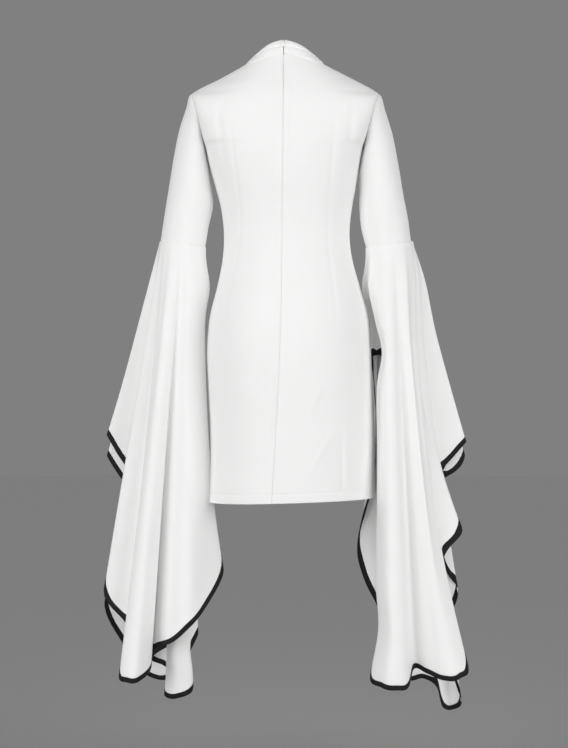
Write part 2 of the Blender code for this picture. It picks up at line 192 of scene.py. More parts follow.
# How deep the cloth rolls in along the centre back and the sides: drop and depth
CENTRE_ROLL = ((0, 1.3), (40, 1.1), (62, 0.15), (500, 0.12), (512, 0.6), (716, 0.6), (740, 0.15),
               (866, 0.2))
SIDE_ROLL = ((0, 0.5), (866, 0.5))

# Binding section: share of its width up from the hem, and how far it stands out from the cloth
BINDING_SECTION = (
    (1.0, 0.5), (0.75, 0.75), (0.3, 0.8), (0.05, 0.7), (-0.1, 0.2), (-0.12, -0.55), (-0.1, -1.3),
    (0.05, -1.8), (0.3, -1.9), (0.75, -1.85), (1.0, -1.6),
)

# Each cut piece: width and length before it was sewn, and the area of the cut
CUTS = {
    "front_panel": (0.43, 0.87, 0.365),
    "back_panel_left": (0.21, 0.88, 0.170),
    "back_panel_right": (0.235, 0.88, 0.193),
    "sleeve_left": (0.33, 0.30, 0.070),
    "sleeve_right": (0.33, 0.30, 0.072),
    "flounce_left": (1.0, 0.90, 0.509),
    "flounce_right": (0.85, 0.95, 0.397),
    "collar_left": (0.21, 0.03, 0.005),
    "collar_right": (0.21, 0.03, 0.005),
}

# Body sections: drop, half width on the left, on the right, depth behind, depth in front,
# and how far the centre back seam stands to the left
BODY = np.array((
    (0, 76, 80, 50, 62, 1),
    (28, 129, 138, 66, 84, 1),
    (57, 183, 188, 79, 98, 1),
    (110, 170, 173, 93, 110, 2),
    (163, 157, 157, 97, 120, 2),
    (200, 149, 150, 95, 128, 3),
    (240, 138, 144, 90, 133, 3),
    (290, 125, 135, 81, 124, 4),
    (340, 120, 131, 76, 108, 4),
    (390, 123, 137, 82, 102, 5),
    (440, 133, 151, 96, 106, 5),
    (500, 148, 168, 112, 110, 6),
    (560, 154, 173, 119, 110, 8),
    (640, 152, 177, 119, 108, 11),
    (734, 148, 181, 114, 106, 16),
    (800, 149, 181, 112, 105, 20),
    (866, 154, 181, 110, 104, 24),
)) * MM

# How squarely the sections turn at the side: drop and power
SIDE_TURN = np.array((
    (0, 0.9),
    (57, 0.9),
    (135, 0.85),
    (163, 0.5),
    (200, 0.62),
    (250, 0.78),
    (320, 0.9),
)) * (MM, 1)

# How far the yoke falls away on either side of the shoulder seam: level and fall
SHOULDER_FALL = np.array(((0, 0), (28, 8), (57, 8), (120, 0))) * MM

# Sleeve sections: share of the way down, inner out and drop, outer out and drop, half depth
SLEEVE_LEFT = np.array((
    (0.00, 157, 163, 183, 57, 54),
    (0.02, 156, 168, 187, 59, 54),
    (0.10, 152.5, 186, 195, 85, 54),
    (0.22, 148.5, 208, 206, 118, 53),
    (0.45, 144, 246, 219, 176, 51),
    (0.65, 142, 281, 229, 238, 49),
    (0.85, 151, 322, 239, 300, 46),
    (1.00, 158, 364, 247, 353, 44),
)) * (1, MM, MM, MM, MM, MM)

SLEEVE_RIGHT = np.array((
    (0.00, 157, 163, 188, 57, 54),
    (0.02, 157, 168, 192, 59, 54),
    (0.10, 153, 188, 202, 90, 54),
    (0.22, 149.5, 212, 214, 128, 53),
    (0.45, 151, 250, 228, 195, 51),
    (0.65, 151, 287, 238, 255, 49),
    (0.85, 155, 328, 248, 308, 46),
    (1.00, 165, 366, 254, 353, 44),
)) * (1, MM, MM, MM, MM, MM)

# Flounce folds, one row for each place where the hem turns: angle on the elbow seam in degrees
# (0 next the body, 90 behind, 180 outside, 270 in front), out, back, drop, how late the cloth
# swings out on its way down, and how far it bows outwards half-way down
FLOUNCE_LEFT = (
    (8, 164, 4, 996, 1.0, 4),
    (24, 146, 16, 966, 4.0, -4),
    (36, 121, 26, 1008, 3.2, -8),
    (50, 162, 58, 1090, 1.5, -4),
    (62, 195, 74, 1128, 1.1, 0),
    (74, 228, 64, 1154, 1.0, 0),
    (82, 256, 38, 1164, 1.0, 0),
    (88, 267, 30, 1178, 1.0, 0),
    (94, 266, 52, 1204, 1.0, 0),
    (104, 290, 80, 1230, 1.0, 0),
    (116, 314, 84, 1232, 1.0, 0),
    (126, 330, 72, 1220, 1.1, 0),
    (134, 318, 54, 1172, 1.0, 0),
    (142, 312, 44, 1122, 1.0, 0),
    (152, 360, 30, 1046, 1.0, 0),
    (160, 318, 10, 950, 1.0, 0),
    (169, 300, -2, 838, 1.0, 0),
    (177, 340, -7, 764, 1.0, -2),
    (180, 355, -11, 737, 1.0, -2),
    (183, 343, -17, 748, 1.0, -2),
    (188, 318, -26, 790, 1.0, 0),
    (193, 308, -34, 842, 1.0, 0),
    (198, 334, -39, 812, 1.0, 0),
    (202, 354, -42, 779, 1.0, 0),
    (205, 343, -47, 790, 1.0, 0),
    (210, 308, -54, 836, 1.0, 0),
    (218, 314, -60, 952, 1.0, 0),
    (225, 359, -70, 1064, 1.0, 0),
    (233, 320, -88, 1158, 1.0, 0),
    (242, 290, -96, 1204, 1.0, 0),
    (251, 264, -98, 1222, 1.0, 0),
    (260, 236, -88, 1226, 1.0, 0),
    (266, 221, -72, 1216, 1.0, 0),
    (273, 240, -58, 1198, 1.0, 0),
    (280, 266, -42, 1184, 1.0, 0),
    (287, 228, -24, 1158, 1.0, 0),
    (294, 192, -26, 1150, 1.0, 0),
    (300, 172, -22, 1134, 1.0, 0),
    (307, 192, -8, 1178, 1.0, 0),
    (315, 222, 0, 1238, 1.0, 0),
    (321, 238, 8, 1256, 1.0, 0),
    (329, 216, 22, 1264, 1.0, 0),
    (336, 183, 10, 1244, 1.0, 0),
    (342, 204, -20, 1190, 1.0, 0),
    (346, 196, -26, 1152, 1.0, 0),
    (348, 187, -27, 1144, 1.0, 0),
    (349.5, 178, -28, 1134, 1.0, 0),
    (351, 188, -27, 1116, 1.0, 2),
    (353, 196, -25, 1086, 1.0, 4),
)

FLOUNCE_RIGHT = (
    (0, 184, -24, 577, 1.0, 2),
    (4, 193, -19, 583, 1.0, 6),
    (8, 191, -13, 612, 1.0, 8),
    (12, 189, -6, 664, 1.0, 10),
    (16, 206, 4, 760, 1.0, 10),
    (23, 222, 16, 880, 1.0, 8),
    (31, 210, 28, 1048, 1.0, 6),
    (39, 184, 40, 1168, 1.2, 7),
    (47, 171, 56, 1220, 1.5, 12),
    (60, 194, 82, 1242, 1.2, 7),
    (76, 224, 88, 1248, 1.0, 0),
    (90, 250, 74, 1240, 1.0, 0),
    (99, 259, 44, 1206, 1.0, 0),
    (112, 286, 56, 1214, 1.1, 0),
    (126, 320, 72, 1228, 1.2, 0),
    (138, 352, 72, 1224, 1.8, 0),
    (146, 368, 58, 1198, 1.9, 0),
    (153, 334, 46, 1098, 1.6, 0),
    (160, 318, 34, 988, 1.5, 0),
    (167, 356, 22, 928, 2.1, -6),
    (174, 326, 6, 884, 1.3, 0),
    (182, 314, -4, 812, 1.0, 0),
    (187, 340, -10, 779, 1.0, -1),
    (191, 364, -14, 751, 1.0, -1),
    (194, 350, -20, 762, 1.0, -1),
    (198, 324, -28, 796, 1.0, 0),
    (202, 316, -34, 824, 1.0, 0),
    (204, 338, -38, 813, 1.0, 0),
    (206, 354, -41, 798, 1.0, 0),
    (208.5, 361, -44, 777, 1.0, 0),
    (210.5, 350, -47, 786, 1.0, 0),
    (215, 314, -55, 836, 1.0, 0),
    (222, 320, -64, 990, 1.0, 0),
    (230, 348, -72, 1048, 1.0, 0),
    (238, 330, -82, 1118, 1.0, 0),
    (246, 342, -100, 1228, 1.0, 0),
    (252, 355, -102, 1270, 1.0, 0),
    (260, 336, -120, 1286, 1.0, 0),
    (268, 317, -114, 1280, 1.0, 0),
    (276, 306, -100, 1242, 1.0, 0),
    (286, 280, -98, 1224, 1.0, 0),
    (298, 254, -102, 1228, 1.0, 0),
    (312, 224, -108, 1212, 1.0, 0),
    (326, 200, -114, 1148, 1.0, 0),
    (335, 184, -116, 1072, 1.0, 6),
    (338, 163, -114, 1030, 1.0, 18),
    (340, 150, -112, 990, 1.0, 24),
    (342.5, 147, -106, 956, 1.0, 26),
    (345, 153, -96, 922, 1.0, 24),
    (347.5, 164, -84, 886, 1.0, 22),
    (350, 178, -72, 828, 1.0, 14),
    (353, 184, -56, 700, 1.0, 6),
    (355, 178, -46, 626, 1.0, 2),
    (357, 173, -34, 587, 1.0, 3),
)

# Where a flounce bulges out or is drawn in below the elbow: angle and its spread in degrees,
# drop and its spread, and how far out
BULGES_LEFT = ((0, 60, 444, 45, -11), (180, 45, 650, 120, -2), (336, 16, 1160, 38, 8))
BULGES_RIGHT = ((0, 60, 444, 45, -13), (180, 60, 425, 75, 8), (38, 30, 572, 45, 13),
                (47, 25, 1115, 65, 11))

# Collar: share of the way from the centre back to the centre front, height, lean to the neck
COLLAR = np.array((
    (0.0, 29, 8),
    (0.14, 23.5, 10),
    (0.28, 17.5, 13.5),
    (0.5, 15, 15.5),
    (0.75, 18, 13),
    (1.0, 20, 10),
)) * (1, MM, MM)

# Each side's name and sign, and what its flounce is made from: sleeve, hem table and bulges
SIDES = (("left", 1), ("right", -1))
FLOUNCES = {
    1: (SLEEVE_LEFT, FLOUNCE_LEFT, BULGES_LEFT),
    -1: (SLEEVE_RIGHT, FLOUNCE_RIGHT, BULGES_RIGHT),
}

# Folds in the back as seen from behind: height (raised above 0, pressed in below), width, and
# a line of (drop, out) places
BACK_FOLDS = (
    (-0.8, 4.0, ((113, 108.6), (202, 98), (271, 88.6), (328, 88), (388, 97), (462, 112),
                 (492, 116))),
    (-0.8, 4.0, ((100, -104), (186, -96), (271, -90), (348, -88), (396, -92.4), (454, -100.8),
                 (506, -105.4))),
    (-1.5, 7, ((88, 132), (188, 122))),
    (-1.5, 7, ((78, -138), (168, -130))),
    (-0.4, 3, ((0, 16), (240, 18), (505, 21))),
    (-0.4, 3, ((0, -14), (240, -12), (505, -9))),
    (-1.2, 3, ((738, -116), (852, -116))),
    (0.8, 6, ((738, -124), (852, -124))),
    (1.5, 6, ((736, -98), (804, -56))),
    (1.2, 6, ((640, -76), (698, -52))),
    (-1.0, 9, ((508, 116), (568, 116))),
    (1.0, 4, ((600, 15), (740, 22))),
    (-1.2, 7, ((498, -14), (568, -14))),
    (0.5, 3, ((728, 17), (852, 24))),
)

FRONT_FOLDS = (
    (1.2, 12, ((560, 60), (700, 78), (850, 84))),
    (1.2, 12, ((560, -64), (700, -82), (850, -92))),
    (-1.0, 9, ((190, 96), (250, 84), (320, 78))),
    (-1.0, 9, ((190, -98), (250, -88), (320, -82))),
)

SLEEVE_FOLDS = {
    1: ((-0.8, 6, ((300, 214), (352, 226))), (0.8, 6, ((300, 200), (352, 206)))),
    -1: ((-0.8, 6, ((300, -218), (352, -232))), (0.8, 6, ((300, -204), (352, -210)))),
}


def smooth(at, knots, values):
    """Values read off one smooth curve through the knots, at each place in at."""
    at = np.clip(at, knots[0], knots[-1])
    slope = np.gradient(values, knots)
    low = np.clip(np.searchsorted(knots, at, side="right") - 1, 0, len(knots) - 2)
    step = knots[low + 1] - knots[low]
    s = (at - knots[low]) / step
    return ((2 * s**3 - 3 * s**2 + 1) * values[low] + (s**3 - 2 * s**2 + s) * step * slope[low]
            + (3 * s**2 - 2 * s**3) * values[low + 1] + (s**3 - s**2) * step * slope[low + 1])


def smooth_round(at, knots, values):
    """The same on a closed curve whose knots run round from 0 to 1."""
    wrapped = np.concatenate((knots[-3:] - 1, knots, knots[:3] + 1))
    return smooth(np.mod(at, 1.0), wrapped, np.concatenate((values[-3:], values, values[:3])))


def normal_of(shape, u, v):
    """Unit normals of a surface, on the side where u turns towards v."""
    along = shape(np.clip(u + NORMAL_STEP, 0, 1), v) - shape(np.clip(u - NORMAL_STEP, 0, 1), v)
    down = shape(u, np.clip(v + NORMAL_STEP, 0, 1)) - shape(u, np.clip(v - NORMAL_STEP, 0, 1))
    across = np.cross(along, down)
    return across / np.maximum(np.linalg.norm(across, axis=1, keepdims=True), 1e-12)


def body_column(level, column):
    """One of the body's measures at each level."""
    return smooth(level, BODY[:, 0], BODY[:, column])


def edge_power(level):
    """How squarely a section turns at its side: squarest under the arm."""
    return np.interp(level, SIDE_TURN[:, 0], SIDE_TURN[:, 1])


def side_edge(side, level):
    """Out and half depth of the line where the front and back panels end, at each level."""
    column = 1 if side > 0 else 2
    out = body_column(level, column)
    top, foot = ARMHOLE_TOP, ARMHOLE_FOOT
    top_out = np.interp(top, BODY[:, 0], BODY[:, column])
    foot_out = np.interp(foot, BODY[:, 0], BODY[:, column])
    share = (level - top) / (foot - top)
    in_armhole = (share > 0) & (share < 1)
    out = np.where(in_armhole, top_out + (foot_out - top_out) * share, out)
    round_edge = np.sqrt(np.clip(1 - (2 * share - 1) ** 2, 0, 1))
    return out, np.where(in_armhole, ARMHOLE_HALF_DEPTH * round_edge, 0)


def body_point(side, angle, level):
    """A point on the dress: angle is 0 at the centre back, pi / 2 at the side, pi in front."""
    out, edge_depth = side_edge(side, level)
    behind = np.cos(angle) >= 0
    reach = np.abs(np.cos(angle))
    spread = np.abs(np.sin(angle)) ** SECTION_POWER
    left, right = body_column(level, 1), body_column(level, 2)
    middle = np.where(behind, body_column(level, 5), (left - right) / 2 * (level / HEM_DROP))
    x = middle + (side * out - middle) * spread
    depth = np.where(behind, body_column(level, 3), body_column(level, 4))
    y = (edge_depth + (depth - edge_depth) * reach ** edge_power(level)) * np.where(behind, 1, -1)
    rise = NECK_RISE_BACK * np.clip(1 - level / RISE_FADES_BY, 0, 1) ** 2
    dip = NECK_DIP_FRONT * np.clip(1 - level / DIP_FADES_BY, 0, 1) ** 2
    drop = level + np.where(behind, -rise, dip) * reach**2
    fall = np.interp(level, SHOULDER_FALL[:, 0], SHOULDER_FALL[:, 1])
    drop = drop + fall * np.sin(2 * angle) ** 2
    drop = drop + HEM_TILT * x * (level / HEM_DROP) ** 4
    return np.stack((x, y, -drop), axis=1)


def seam_angle(level, column):
    """The angle from the side at which half the seam's gap is reached."""
    return (SEAM_GAP / 8 / body_column(level, column)) ** (1 / edge_power(level))


def back_shape(side):
    """A back panel's outer face: u from the centre back to the side, v down to the hem."""
    def shape(u, v):
        level = v * HEM_DROP
        first = CENTRE_TOUCH + SLIT_OPENS * np.clip(1 - level / SLIT_FOOT, 0, 1)
        last = math.pi / 2 - seam_angle(level, 3)
        return body_point(side, first + (last - first) * u, level)
    return shape


def front_shape(u, v):
    """From the left side, u = 0, across the centre front to the right side, u = 1."""
    left = u < 0.5
    share = np.where(left, 2 * u, 2 - 2 * u)
    level = v * HEM_DROP
    first = math.pi / 2 + seam_angle(level, 4)
    angle = first + (math.pi - first) * share
    return np.where(left[:, None], body_point(1, angle, level), body_point(-1, angle, level))


def sleeve_shape(table, side):
    """A sleeve's outer face: u round it from its inner line, v down to the elbow."""
    def shape(u, v):
        inner_out, inner_drop, outer_out, outer_drop, depth = (
            smooth(v, table[:, 0], table[:, column]) for column in range(1, 6))
        turn = u * math.tau
        out = (inner_out + outer_out) / 2 + (inner_out - outer_out) / 2 * np.cos(turn)
        drop = (inner_drop + outer_drop) / 2 + (inner_drop - outer_drop) / 2 * np.cos(turn)
        return np.stack((side * out, depth * np.sin(turn), -drop), axis=1)
    return shape


def grid_normals(points):
    """Unit normals at the points of a closed grid: the mean of those of the faces round each."""
    after = np.roll(points, -1, axis=0)
    faces = np.cross(after[:, 1:] - points[:, :-1], after[:, :-1] - points[:, 1:])
    faces = faces / np.maximum(np.linalg.norm(faces, axis=2, keepdims=True), 1e-12)
    faces = faces + np.roll(faces, 1, axis=0)
    total = np.zeros_like(points)
    total[:, 1:] += faces
    total[:, :-1] += faces
    return total / np.linalg.norm(total, axis=2, keepdims=True)


def flounce_ends(side, u):
    """Where each line of the flounce starts at the elbow and where it meets the hem."""
    sleeve, table, _ = FLOUNCES[side]
    rows = np.array(table) * (1, MM, MM, MM, 1, MM)
    knots = rows[:, 0] / 360
    inner_out, inner_drop, outer_out, outer_drop, depth = sleeve[-1, 1:]
    turn = u * math.tau
    half = (outer_out - inner_out) / 2 + FLOUNCE_EASE
    top_out = (inner_out + outer_out) / 2 - half * np.cos(turn)
    top_back = (depth + FLOUNCE_EASE) * np.sin(turn)
    top_drop = (inner_drop + outer_drop) / 2 + (inner_drop - outer_drop) / 2 * np.cos(turn)
    out, back, drop, late, bow = (
        smooth_round(u, knots, rows[:, column]) for column in range(1, 6))
    back = back * FOLD_DEPTH
    nearer = (VIEW_DISTANCE - back) / VIEW_DISTANCE
    hem = np.stack((out * nearer, back, EYE_DROP + (drop - EYE_DROP) * nearer), axis=1)
    return np.stack((top_out, top_back, top_drop - FLOUNCE_LAP), axis=1), hem, late, bow


def binding_share(side, u, width):
    """The share of each line that the binding takes: more where the hem is steep."""
    near = HEM_SLOPE_REACH * np.linspace(-1, 1, 5)
    around = (u[:, None] + near).ravel()
    top, hem = flounce_ends(side, around)[:2]
    run = flounce_ends(side, around + HEM_SLOPE_STEP)[1] - hem
    fall = hem - top
    square = np.linalg.norm(np.cross(run, fall), axis=1) / (
        np.linalg.norm(run, axis=1) * np.linalg.norm(fall, axis=1))
    taken = width / np.maximum(square, STEEPEST_HEM) / np.linalg.norm(fall, axis=1)
    return taken.reshape(-1, len(near)).mean(axis=1)


def bulged(bulges, u, drop):
    """How far a flounce stands out of its even fall at each turn and drop."""
    out = np.zeros_like(drop)
    for angle, spread, at, reach, amount in bulges:
        around = (u - angle / 360 + 0.5) % 1 - 0.5
        out += amount * MM * np.exp(-(around[:, None] * 360 / spread) ** 2
                                    - ((drop - at * MM) / (reach * MM)) ** 2)
    return out


def flounce_surface(side, u, share):
    """Points of a flounce's outer face: u round the elbow seam, share down each line."""
    sleeve, table, bulges = FLOUNCES[side]
    top, hem, late, bow = flounce_ends(side, u)
    late, bow = late[:, None], bow[:, None]
    swing = share ** late
    out = top[:, :1] + (hem - top)[:, :1] * swing + bow * 4 * share * (1 - share)
    back = top[:, 1:2] + (hem - top)[:, 1:2] * swing
    drop = top[:, 2:] + (hem - top)[:, 2:] * share
    return np.stack((side * (out + bulged(bulges, u, drop)), back, -drop), axis=2)


def collar_shape(side):
    """The outer face of a collar half: u from the centre back to the centre front, v upwards."""
    last = math.pi - COLLAR_MEETS

    def shape(u, v):
        first = COLLAR_SLIT + COLLAR_SLIT_SPREAD * v**2
        angle = first + (last - first) * u
        hang = np.exp(-((u - COLLAR_HANG_AT) / COLLAR_HANG_SPREAD) ** 2)
        hang *= np.clip(1 - v / COLLAR_HANG_REACH, 0, 1) ** 2
        edge = body_point(side, angle, COLLAR_HANG * hang)
        height = smooth(u, COLLAR[:, 0], COLLAR[:, 1])
        lean = smooth(u, COLLAR[:, 0], COLLAR[:, 2])
        away = edge * (1, 1, 0)
        away = away / np.linalg.norm(away, axis=1, keepdims=True)
        crease = np.exp(-((v - COLLAR_CREASE_AT) / COLLAR_CREASE_SPREAD) ** 2)
        proud = COLLAR_ROLL * np.sin(math.pi * v) ** COLLAR_ROUNDNESS
        proud = proud - lean * v - COLLAR_CREASE_DEPTH * crease
        up = COLLAR_LIFT + (height - COLLAR_LIFT) * v + COLLAR_HANG_LIFT * hang
        return edge + away * proud[:, None] + up[:, None] * np.array((0, 0, 1))
    return shape


def seen_from_behind(points):
    """Out to the wearer's left, and drop, of each point as it looks from straight behind."""
    nearer = VIEW_DISTANCE / (VIEW_DISTANCE - points[:, 1])
    return points[:, 0] * nearer, EYE_DROP + (-points[:, 2] - EYE_DROP) * nearer


def line_offset(out, drop, line):
    """How far each place lies from a line of (drop, out) knots, and a fade at the line's ends."""
    knots = np.array(line) * MM
    across = out - np.interp(drop, knots[:, 0], knots[:, 1])
    fade = np.clip((drop - knots[0, 0]) / FOLD_FADE + 0.5, 0, 1) * np.clip(
        (knots[-1, 0] - drop) / FOLD_FADE + 0.5, 0, 1)
    return across, fade


def folded(points, normals, folds):
    """The points with soft folds pressed in or raised along lines, placed as seen from behind."""
    out, drop = seen_from_behind(points)
    rise = np.zeros(len(points))
    for height, width, line in folds:
        across, fade = line_offset(out, drop, line)
        rise += height * MM * fade * np.exp(-(across / (width * MM)) ** 2)
    return points + normals * rise[:, None]


# Making a piece

def sheet_mesh(columns, rows, flat, column_spread=EVEN, row_spread=EVEN):
    """A flat sheet whose points hold u and v from 0 to 1, with its cloth map in metres."""
    bm = bmesh.new()
    bmesh.ops.create_grid(bm, x_segments=columns, y_segments=rows, size=0.5)
    for vert in bm.verts:
        vert.co.x = np.interp(vert.co.x + 0.5, *column_spread)
        vert.co.y = np.interp(vert.co.y + 0.5, *row_spread)
    cloth_map = bm.loops.layers.uv.new(CLOTH_MAP)
    for face in bm.faces:
        for loop in face.loops:
            loop[cloth_map].uv = (loop.vert.co.x * flat[0], loop.vert.co.y * flat[1])
    return bm


def grid_values(bm):
    """The u and v of each point of a flat sheet."""
    return np.array([vert.co.xy for vert in bm.verts]).T


def settle(bm, points, normals):
    """Moves the sheet's points to their places, with its faces on the side of the normals."""
    for vert, point in zip(bm.verts, points):
        vert.co = point
    bm.normal_update()
    faced = np.array([vert.normal for vert in bm.verts])
    if (faced * normals).sum() < 0:
        bmesh.ops.reverse_faces(bm, faces=bm.faces)
    bmesh.ops.remove_doubles(bm, verts=bm.verts, dist=WELD)


def piece_from(bm, name, nodes, finish, wall=None):
    """Makes the piece, with a wall inwards from its face where one is given."""
    mesh = bpy.data.meshes.new(name)
    bm.to_mesh(mesh)
    bm.free()
    mesh.shade_smooth()
    mesh.materials.append(finish)
    piece = bpy.data.objects.new(name, mesh)
    bpy.context.scene.collection.objects.link(piece)
    if wall is not None:
        thicken = piece.modifiers.new("Wall", "SOLIDIFY")
        thicken.thickness = wall
        thicken.offset = -1
    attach(piece, BODY_NAME)
    if nodes:
        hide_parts(*nodes)
    return piece


def rolled_in(from_edge, drop, roll):
    """How deep the cloth sinks near a seam, by the distance from its edge."""
    knots = np.array(roll) * MM
    return np.interp(drop, knots[:, 0], knots[:, 1]) * np.exp(-(from_edge / SEAM_SPREAD) ** 2)


def panel(name, node, shape, side, grid, folds, rolls):
    """A body panel: rolls gives how its edges at u = 0 and u = 1 roll into their seams."""
    sizes = bpy.context.scene.dress_sizes
    wide, long, area = CUTS[node]
    bm = sheet_mesh(*grid, (wide, long), SIDES_CLOSER, HEM_CLOSER)
    u, v = grid_values(bm)
    drop = v * HEM_DROP
    normals = side * normal_of(shape, u, v)
    sink = rolled_in(u * wide, drop, rolls[0]) + rolled_in((1 - u) * wide, drop, rolls[1])
    sink += HEM_GROOVE * np.exp(-((HEM_DROP - drop - sizes.hem_depth) / HEM_GROOVE_SPREAD) ** 2)
    settle(bm, folded(shape(u, v), normals, folds) - normals * sink[:, None], normals)
    piece = piece_from(bm, name, [node], white_crepe(), sizes.cloth)
    return piece


def stitch_row(bm, line, normals, pitch, length, radius):
    """Lays thread stitches end to end along a line of points on the cloth."""
    run = np.concatenate(((0,), np.cumsum(np.linalg.norm(np.diff(line, axis=0), axis=1))))
    count = int(run[-1] / pitch)
    for middle in (np.arange(count) + 0.5) * run[-1] / count:
        at, ahead, out = (
            mathutils.Vector([np.interp(where, run, values[:, axis]) for axis in range(3)])
            for where, values in ((middle, line), (middle + length / 2, line), (middle, normals)))
        along = (ahead - at).normalized()
        across = out.cross(along).normalized()
        turn = mathutils.Matrix((along, across, along.cross(across))).transposed().to_4x4()
        size = mathutils.Matrix.Diagonal((length / 2, radius, radius, 1))
        bmesh.ops.create_uvsphere(bm, u_segments=6, v_segments=5, radius=1,
                                  matrix=mathutils.Matrix.Translation(at) @ turn @ size)


def tube_piece(name, node, shape, rows, spread, rolls, outward, folds=()):
    """A sheet joined into a tube: shape gives the points of every column at some shares down."""
    wide, long, _ = CUTS[node]
    bm = sheet_mesh(len(shape(EVEN[0])), rows, (wide, long), row_spread=spread)
    u, v = grid_values(bm)
    places = np.interp(np.arange(rows + 1) / rows, *spread)
    points = shape(places)
    normals = outward * grid_normals(points)
    column = np.round(u * len(points)).astype(int) % len(points)
    row = np.round(np.interp(v, spread[1], spread[0]) * rows).astype(int)
    points, normals = points[column, row], normals[column, row]
    sink = rolls[0] * np.exp(-(v * long / SEAM_SPREAD) ** 2)
    sink += rolls[1] * np.exp(-((1 - v) * long / SEAM_SPREAD) ** 2)
    settle(bm, folded(points, normals, folds) - normals * sink[:, None], normals)
    return piece_from(bm, name, [node], white_crepe(),
                      bpy.context.scene.dress_sizes.cloth)


def make_sleeve(name, side):
    """A sleeve from the armhole to the elbow, with its soft folds above the elbow seam."""
    around, rows = SLEEVE_GRID
    steps = np.arange(around) / around

    def shape(places):
        u, v = (grid.ravel() for grid in np.meshgrid(steps, places, indexing="ij"))
        return sleeve_shape(FLOUNCES[side][0], side)(u, v).reshape(around, len(places), 3)
    node = "sleeve_" + name
    piece = tube_piece("sleeve_cloth_" + name, node, shape, rows, ENDS_CLOSER,
                       (SEAM_DEPTH, SEAM_DEPTH), -side, SLEEVE_FOLDS[side])


def flounce_steps(side):
    """The places round the elbow seam of the columns: each fold's own, and those between."""
    knots = np.array([row[0] / 360 for row in FLOUNCES[side][1]])
    after = np.append(knots[1:], knots[0] + 1)
    between = np.arange(STEPS_PER_FOLD) / STEPS_PER_FOLD
    return (knots[:, None] + (after - knots)[:, None] * between).ravel()


def make_flounce(name, side):
    """A flounce from the elbow seam to its uneven hem, with a column at every fold."""
    steps = flounce_steps(side)

    def shape(places):
        share = np.broadcast_to(np.array(places), (len(steps), len(places)))
        return flounce_surface(side, steps, share)
    return tube_piece("flounce_cloth_" + name, "flounce_" + name, shape, FLOUNCE_ROWS, TOP_CLOSER,
                      (SEAM_DEPTH, 0), -side)


def make_binding(name, side):
    """A folded strip that wraps the hem: its section runs down the outside and up the inside."""
    steps = flounce_steps(side)
    width = bpy.context.scene.dress_sizes.binding
    taken = binding_share(side, steps, width)[:, None]
    near_hem = flounce_surface(side, steps, 1 - taken * (2, 1, 0))
    _, upper, lower = np.moveaxis(-side * grid_normals(near_hem), 1, 0)
    up, out = np.array(BINDING_SECTION).T
    lean = np.clip(up, 0, 1)[:, None]
    normals = lower[:, None] * (1 - lean) + upper[:, None] * lean
    normals /= np.linalg.norm(normals, axis=2, keepdims=True)
    points = flounce_surface(side, steps, 1 - taken * up) + normals * (out * MM)[:, None]
    run = np.linalg.norm(np.diff(points[:, 0], axis=0), axis=1).sum()
    bm = sheet_mesh(len(steps), len(up), (run, width))
    cloth_map = bm.loops.layers.uv[CLOTH_MAP]
    for vert in bm.verts:
        step = round(vert.co.x * len(steps)) % len(steps)
        row = round(vert.co.y * len(up)) % len(up)
        vert.co = points[step, row]
        for loop in vert.link_loops:
            loop[cloth_map].uv.y = up[row] * width
    bmesh.ops.remove_doubles(bm, verts=bm.verts, dist=WELD)
    if bm.calc_volume(signed=True) < 0:
        bmesh.ops.reverse_faces(bm, faces=bm.faces)
    return piece_from(bm, "binding_tape_" + name, ["binding_" + name], black_binding())


def make_collar(name, side):
    """Half of the collar, as thick as its folded cloth."""
    node = "collar_" + name
    wide, long, area = CUTS[node]
    bm = sheet_mesh(*COLLAR_GRID, (wide, long), SIDES_CLOSER)
    u, v = grid_values(bm)
    shape = collar_shape(side)
    normals = -side * normal_of(shape, u, v)
    settle(bm, shape(u, v), normals)
    piece = piece_from(bm, "collar_cloth_" + name, [node], white_crepe(),
                       bpy.context.scene.dress_sizes.collar)


def make_pull():
    """A slim pull with rounded ends and a sunk face, hung where the zip closes."""
    low, high = (mathutils.Vector(corner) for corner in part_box("zip_pull"))
    size = high - low
    bm = bmesh.new()
    bmesh.ops.create_circle(bm, cap_ends=True, segments=24, radius=size.x / 2)
    for vert in bm.verts:
        if vert.co.y > 0:
            vert.co.y += size.z - size.x
            vert.co.x *= PULL_TAPER
    wall = bmesh.ops.extrude_face_region(bm, geom=bm.faces[:])["geom"]
    moved = [item for item in wall if isinstance(item, bmesh.types.BMVert)]
    bmesh.ops.translate(bm, verts=moved, vec=(0, 0, size.y))
    bmesh.ops.recalc_face_normals(bm, faces=bm.faces)
    rims = [edge for edge in bm.edges if edge.calc_face_angle() > RIM_ANGLE]
    bmesh.ops.bevel(bm, geom=rims, offset=size.y / 4, segments=3, profile=0.5, affect="EDGES",
                    material=-1)
    flats = [face for face in bm.faces if len(face.verts) > 8]
    bmesh.ops.inset_region(bm, faces=flats, thickness=size.x / 8, depth=-size.y / 8)
    turn = mathutils.Matrix.Rotation(math.pi / 2, 4, "X")
    bmesh.ops.transform(bm, matrix=turn, verts=bm.verts)
    centre = (low + high) / 2
    middle = mathutils.Vector((0, -size.y / 2, (size.z - size.x) / 2))
    bmesh.ops.translate(bm, verts=bm.verts, vec=centre - middle)
    piece_from(bm, "zip_pull_tab", ["zip_pull"], painted_pull())


# The studio

